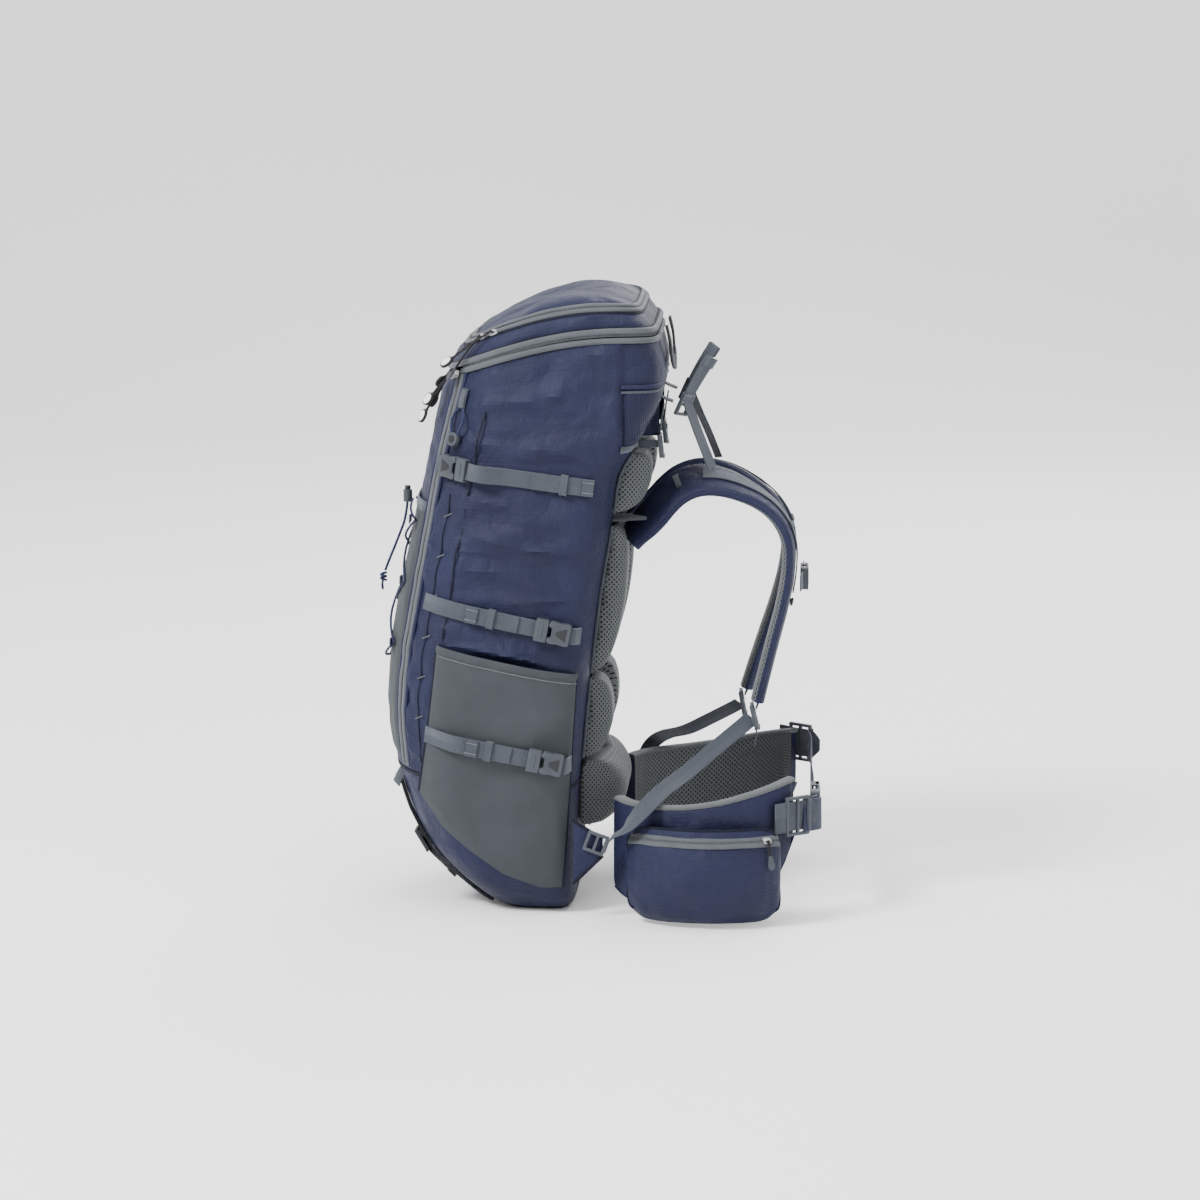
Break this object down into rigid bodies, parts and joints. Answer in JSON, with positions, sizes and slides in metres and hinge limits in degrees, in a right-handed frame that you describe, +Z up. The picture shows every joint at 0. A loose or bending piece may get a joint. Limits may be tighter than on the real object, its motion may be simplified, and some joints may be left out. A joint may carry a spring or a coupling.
{
  "type": "hiking backpack",
  "caption": "Internal-frame hiking backpack with a zipped front panel and lid, stretch pockets, lacing, compression straps, harness and hip belt.",
  "frame": {"origin": "on the ground under the middle of the pack's overall box", "axes": "+X towards the wearer, +Y to the wearer's left, +Z up"},
  "size_m": [0.5343, 0.4616, 0.731],
  "materials": {
    "navy_fabric": "coated ripstop nylon, navy, slight sheen",
    "lining_fabric": "thin woven nylon lining",
    "zip_tape": "knitted zip tape with a covered coil",
    "zip_pull": "moulded disc with a black cord",
    "frame_sheet": "HDPE sheet",
    "frame_stay": "mill finish",
    "mesh_pad": "open spacer mesh over foam",
    "stretch_fabric": "woven stretch fabric, grey",
    "grey_webbing": "herringbone webbing",
    "cord": "braided elastic cord",
    "dark_plastic": "moulded acetal",
    "black_webbing": "black webbing"
  },
  "bodies": {
    "bag": {"base_panel": "navy_fabric", "side_back_panel": "navy_fabric", "main_zip_tape": "zip_tape", "front_zip_tape": "zip_tape", "frame_sheet": "frame_sheet", "frame_stays": "frame_stay", "hydration_sleeve": "lining_fabric", "back_pads_right": "mesh_pad", "back_pads_left": "mesh_pad", "lumbar_pad": "mesh_pad", "side_pocket_right": "stretch_fabric", "side_pocket_left": "stretch_fabric", "compression_webbing_right": "grey_webbing", "compression_webbing_left": "grey_webbing", "compression_sockets_right": "dark_plastic", "compression_sockets_left": "dark_plastic", "base_straps": "black_webbing", "base_buckles": "dark_plastic", "tool_keeper_right": "grey_webbing", "tool_keeper_left": "grey_webbing", "strap_anchors": "grey_webbing", "lifter_locks": "dark_plastic", "stabilizer_straps": "dark_plastic"},
    "front_panel": {"front_panel": "navy_fabric", "front_pocket": "stretch_fabric", "lace_tabs": "grey_webbing", "front_lace": "cord", "lace_lock_body": "dark_plastic", "lace_tail": "cord", "main_zip_sliders": "dark_plastic"},
    "main_pulls_right": {"main_zip_pulls_right": "zip_pull"},
    "main_pulls_left": {"main_zip_pulls_left": "zip_pull"},
    "lid": {"lid_wall": "navy_fabric", "lid_pocket_floor": "lining_fabric", "lid_zip_tape": "zip_tape"},
    "lid_flap": {"lid_top_flap": "navy_fabric"},
    "lid_pulls": {"lid_zip_pulls": "zip_pull"},
    "haul_loop": {"haul_loop": "black_webbing"},
    "lock_plunger": {"lace_lock_plunger": "dark_plastic"},
    "shoulder_right": {"shoulder_pad_right": "navy_fabric", "shoulder_hardware_right": "dark_plastic", "harness_webbing_right": "grey_webbing", "sternum_socket": "dark_plastic"},
    "shoulder_left": {"shoulder_pad_left": "navy_fabric", "shoulder_hardware_left": "dark_plastic", "harness_webbing_left": "grey_webbing"},
    "sternum_clip": {"sternum_clip": "dark_plastic"},
    "hip_right": {"hip_pad_right": "navy_fabric", "hip_pocket_right": "navy_fabric", "hip_hardware_right": "dark_plastic"},
    "hip_left": {"hip_pad_left": "navy_fabric", "hip_pocket_left": "navy_fabric", "hip_hardware_left": "dark_plastic"},
    "hip_clip": {"hip_clip": "dark_plastic"},
    "clip_right_top": {"clip_right_top": "dark_plastic"},
    "clip_right_middle": {"clip_right_middle": "dark_plastic"},
    "clip_right_bottom": {"clip_right_bottom": "dark_plastic"},
    "clip_left_top": {"clip_left_top": "dark_plastic"},
    "clip_left_middle": {"clip_left_middle": "dark_plastic"},
    "clip_left_bottom": {"clip_left_bottom": "dark_plastic"}
  },
  "joints": [
    {"name": "front_panel_hinge", "type": "hinge", "parent": "bag", "child": "front_panel", "pos_m": [-0.25, 0, 0.172], "axis": [0, -1, 0], "range_deg": [0, 95]},
    {"name": "lid_hinge", "type": "hinge", "parent": "front_panel", "child": "lid", "pos_m": [-0.184, 0, 0.634], "axis": [0, -1, 0], "range_deg": [0, 110]},
    {"name": "lid_flap_hinge", "type": "hinge", "parent": "lid", "child": "lid_flap", "pos_m": [-0.16, 0, 0.6725], "axis": [0, -1, 0], "range_deg": [0, 80]},
    {"name": "haul_loop_swing", "type": "hinge", "parent": "bag", "child": "haul_loop", "pos_m": [0.074, 0, 0.688], "axis": [0, -1, 0], "range_deg": [0, 100]},
    {"name": "main_pulls_right_swing", "type": "hinge", "parent": "front_panel", "child": "main_pulls_right", "pos_m": [-0.17331, -0.09851, 0.63578], "axis": [-0.5489, 0.8359, 0], "range_deg": [0, 50]},
    {"name": "main_pulls_left_swing", "type": "hinge", "parent": "front_panel", "child": "main_pulls_left", "pos_m": [-0.17331, 0.09851, 0.63578], "axis": [0.5489, 0.8359, 0], "range_deg": [0, 50]},
    {"name": "lid_pulls_swing", "type": "hinge", "parent": "lid", "child": "lid_pulls", "pos_m": [-0.13712, -0.1101, 0.68351], "axis": [-0.7524, 0.6587, 0], "range_deg": [0, 50]},
    {"name": "lock_plunger_press", "type": "slide", "parent": "front_panel", "child": "lock_plunger", "axis": [0, 0, -1], "range_m": [0, 0.004], "stiffness_N_per_m": 400},
    {"name": "clip_right_top_slide", "type": "slide", "parent": "bag", "child": "clip_right_top", "axis": [0.7368, -0.6691, -0.097], "range_m": [0, 0.02]},
    {"name": "clip_right_middle_slide", "type": "slide", "parent": "bag", "child": "clip_right_middle", "axis": [-0.9799, 0, 0.1994], "range_m": [0, 0.02]},
    {"name": "clip_right_bottom_slide", "type": "slide", "parent": "bag", "child": "clip_right_bottom", "axis": [-0.9823, 0, 0.1874], "range_m": [0, 0.02]},
    {"name": "clip_left_top_slide", "type": "slide", "parent": "bag", "child": "clip_left_top", "axis": [0.7368, 0.6691, -0.097], "range_m": [0, 0.02]},
    {"name": "clip_left_middle_slide", "type": "slide", "parent": "bag", "child": "clip_left_middle", "axis": [-0.9799, 0, 0.1994], "range_m": [0, 0.02]},
    {"name": "clip_left_bottom_slide", "type": "slide", "parent": "bag", "child": "clip_left_bottom", "axis": [-0.9823, 0, 0.1874], "range_m": [0, 0.02]},
    {"name": "shoulder_right_swing", "type": "hinge", "parent": "bag", "child": "shoulder_right", "pos_m": [0.058, -0.066, 0.462], "axis": [0, 1, 0], "range_deg": [-5, 4], "deforming": ["harness_webbing_right"]},
    {"name": "shoulder_left_swing", "type": "hinge", "parent": "bag", "child": "shoulder_left", "pos_m": [0.058, 0.066, 0.462], "axis": [0, 1, 0], "range_deg": [-5, 4], "deforming": ["harness_webbing_left"]},
    {"name": "sternum_clip_slide", "type": "slide", "parent": "shoulder_right", "child": "sternum_clip", "axis": [0, 1, 0], "range_m": [0, 0.02]},
    {"name": "hip_right_swing", "type": "hinge", "parent": "bag", "child": "hip_right", "pos_m": [0.016, -0.116, 0.08], "axis": [0, 0, -1], "range_deg": [0, 20]},
    {"name": "hip_left_swing", "type": "hinge", "parent": "bag", "child": "hip_left", "pos_m": [0.016, 0.116, 0.08], "axis": [0, 0, 1], "range_deg": [0, 20], "deforming": ["hip_hardware_left"]},
    {"name": "hip_clip_slide", "type": "slide", "parent": "hip_right", "child": "hip_clip", "axis": [0, 1, 0], "range_m": [0, 0.03]}
  ],
  "couplings": [
    {"joint": "shoulder_left_swing", "follows": "shoulder_right_swing", "ratio": 1},
    {"joint": "hip_left_swing", "follows": "hip_right_swing", "ratio": 1}
  ]
}
